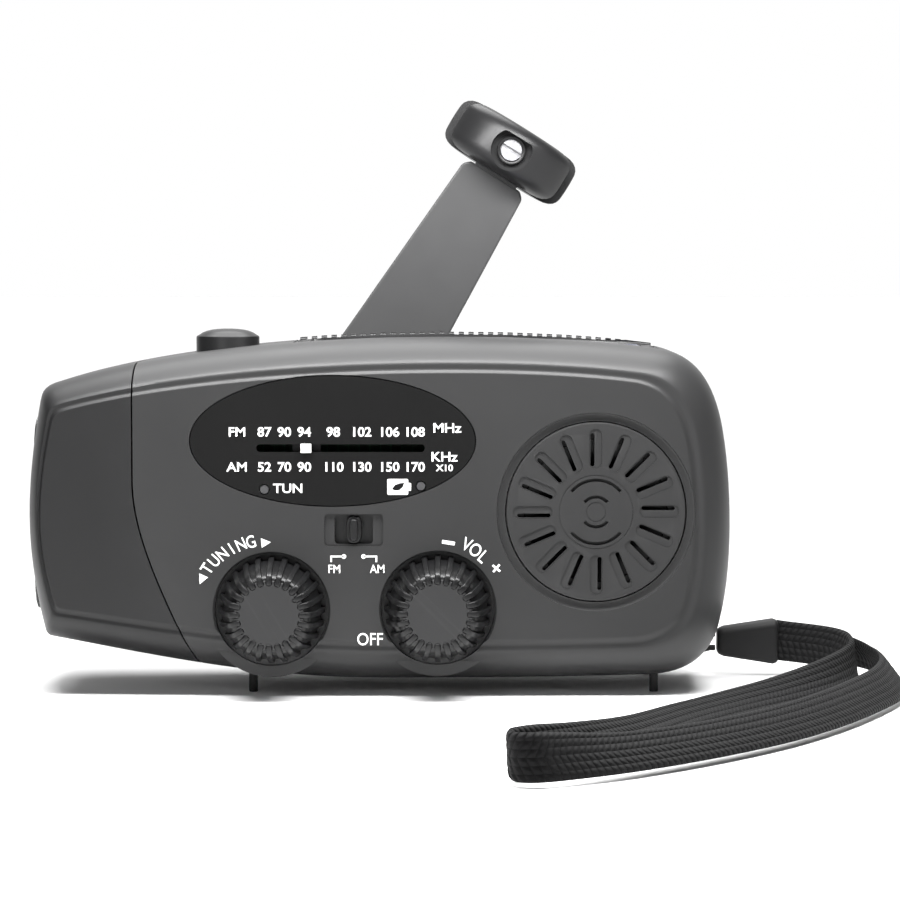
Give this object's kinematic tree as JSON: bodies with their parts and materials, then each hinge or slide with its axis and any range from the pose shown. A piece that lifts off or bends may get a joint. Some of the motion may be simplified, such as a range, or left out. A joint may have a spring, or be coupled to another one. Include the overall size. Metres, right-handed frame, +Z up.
{
  "type": "emergency radio",
  "caption": "Pocket emergency radio with a torch end, solar lid, folding hand crank on the back, tuning and volume knobs, round speaker and a woven wrist strap.",
  "frame": {"origin": "centre of the radio's bounding box at the surface its feet stand on, without the strap", "axes": "+Z up; -Y is the front with the dial and knobs; +X runs from the torch end towards the strap end"},
  "size_m": [0.1573, 0.163, 0.1084],
  "materials": {
    "case_plastic": "satin dark grey moulded plastic",
    "dark_trim": "satin black plastic",
    "dial_plastic": "smooth black plastic with white print",
    "white_plastic": "white plastic",
    "clear_plastic": "clear plastic",
    "reflector_chrome": "bright metallised plastic",
    "steel": "plated steel",
    "circuit_board": "green circuit board",
    "gear_nylon": "off-white nylon",
    "solar_cell": "dark glassy solar cell",
    "rubber": "black rubber",
    "strap_webbing": "black woven webbing"
  },
  "bodies": {
    "radio": {"front_shell": "case_plastic", "rear_shell": "case_plastic", "lamp_head": "case_plastic", "speaker_grille": "case_plastic", "solar_frame": "dark_trim", "speaker_frame": "dark_trim", "ferrite_antenna": "dark_trim", "dial_window": "dial_plastic", "tuning_led": "white_plastic", "charge_led": "white_plastic", "tuning_capacitor": "white_plastic", "battery": "white_plastic", "lamp_lens": "clear_plastic", "lamp_led_lower": "clear_plastic", "lamp_led_middle": "clear_plastic", "lamp_led_upper": "clear_plastic", "lamp_reflector": "reflector_chrome", "volume_potentiometer": "steel", "band_switch": "steel", "speaker_magnet": "steel", "torch_switch": "steel", "usb_socket": "steel", "gear_plate": "steel", "dynamo": "steel", "case_screw_upper_left": "steel", "case_screw_lower_left": "steel", "case_screw_upper_right": "steel", "case_screw_lower_right": "steel", "main_board": "circuit_board", "lamp_board": "circuit_board", "solar_panel": "solar_cell", "strap_cap": "rubber", "foot_front_left": "rubber", "foot_front_right": "rubber", "foot_back_left": "rubber", "foot_back_right": "rubber", "strap_loop": "strap_webbing", "strap_ribbon": "strap_webbing"},
    "crank": {"crank_hub": "dark_trim", "crank_gear": "gear_nylon", "gear_screw": "steel", "crank_pin": "steel"},
    "arm": {"crank_arm": "dark_trim"},
    "knob": {"crank_knob": "dark_trim", "crank_knob_cap": "dark_trim", "crank_knob_screw": "steel"},
    "idler": {"idler_gear": "gear_nylon"},
    "rotor": {"dynamo_pinion": "gear_nylon"},
    "tuner": {"tuning_knob": "dark_trim", "tuning_shaft": "steel"},
    "pointer": {"dial_pointer": "white_plastic"},
    "volume": {"volume_knob": "dark_trim", "volume_shaft": "steel"},
    "band": {"band_slider": "dark_trim"},
    "torch": {"torch_button": "dark_trim"},
    "cover": {"port_cover": "rubber"}
  },
  "joints": [
    {"name": "crank_spin", "type": "hinge", "parent": "radio", "child": "crank", "pos_m": [-0.017, 0.01185, 0.032], "axis": [0, 1, 0], "continuous": true},
    {"name": "crank_fold", "type": "hinge", "parent": "crank", "child": "arm", "pos_m": [-0.01278, 0.01785, 0.0388], "axis": [-0.8499, 0, 0.527], "range_deg": [0, 180]},
    {"name": "crank_knob_spin", "type": "hinge", "parent": "arm", "child": "knob", "pos_m": [0.02421, 0.02515, 0.09846], "axis": [0, 1, 0], "continuous": true},
    {"name": "idler_spin", "type": "hinge", "parent": "radio", "child": "idler", "pos_m": [0.001, -0.00115, 0.032], "axis": [0, 1, 0], "continuous": true},
    {"name": "rotor_spin", "type": "hinge", "parent": "radio", "child": "rotor", "pos_m": [0.01503, -0.00315, 0.0401], "axis": [0, 1, 0], "continuous": true},
    {"name": "tuning_turn", "type": "hinge", "parent": "radio", "child": "tuner", "pos_m": [-0.0191, -0.03015, 0.0157], "axis": [0, 1, 0], "range_deg": [-50, 130]},
    {"name": "pointer_slide", "type": "slide", "parent": "radio", "child": "pointer", "axis": [1, 0, 0], "range_m": [-0.0077, 0.0199]},
    {"name": "volume_turn", "type": "hinge", "parent": "radio", "child": "volume", "pos_m": [0.0104, -0.03015, 0.0159], "axis": [0, 1, 0], "range_deg": [0, 270]},
    {"name": "band_slide", "type": "slide", "parent": "radio", "child": "band", "axis": [1, 0, 0], "range_m": [-0.00175, 0.00175]},
    {"name": "torch_press", "type": "slide", "parent": "radio", "child": "torch", "axis": [0, 0, -1], "range_m": [0, 0.0012], "stiffness_N_per_m": 400, "springref_m": -0.001},
    {"name": "cover_open", "type": "hinge", "parent": "radio", "child": "cover", "pos_m": [0.029, 0.01295, 0.0112], "axis": [-1, 0, 0], "range_deg": [0, 110]}
  ],
  "couplings": [
    {"joint": "idler_spin", "follows": "crank_spin", "ratio": -3},
    {"joint": "rotor_spin", "follows": "crank_spin", "ratio": 7.8},
    {"joint": "pointer_slide", "follows": "tuning_turn", "m_per_rad": 0.0087}
  ]
}
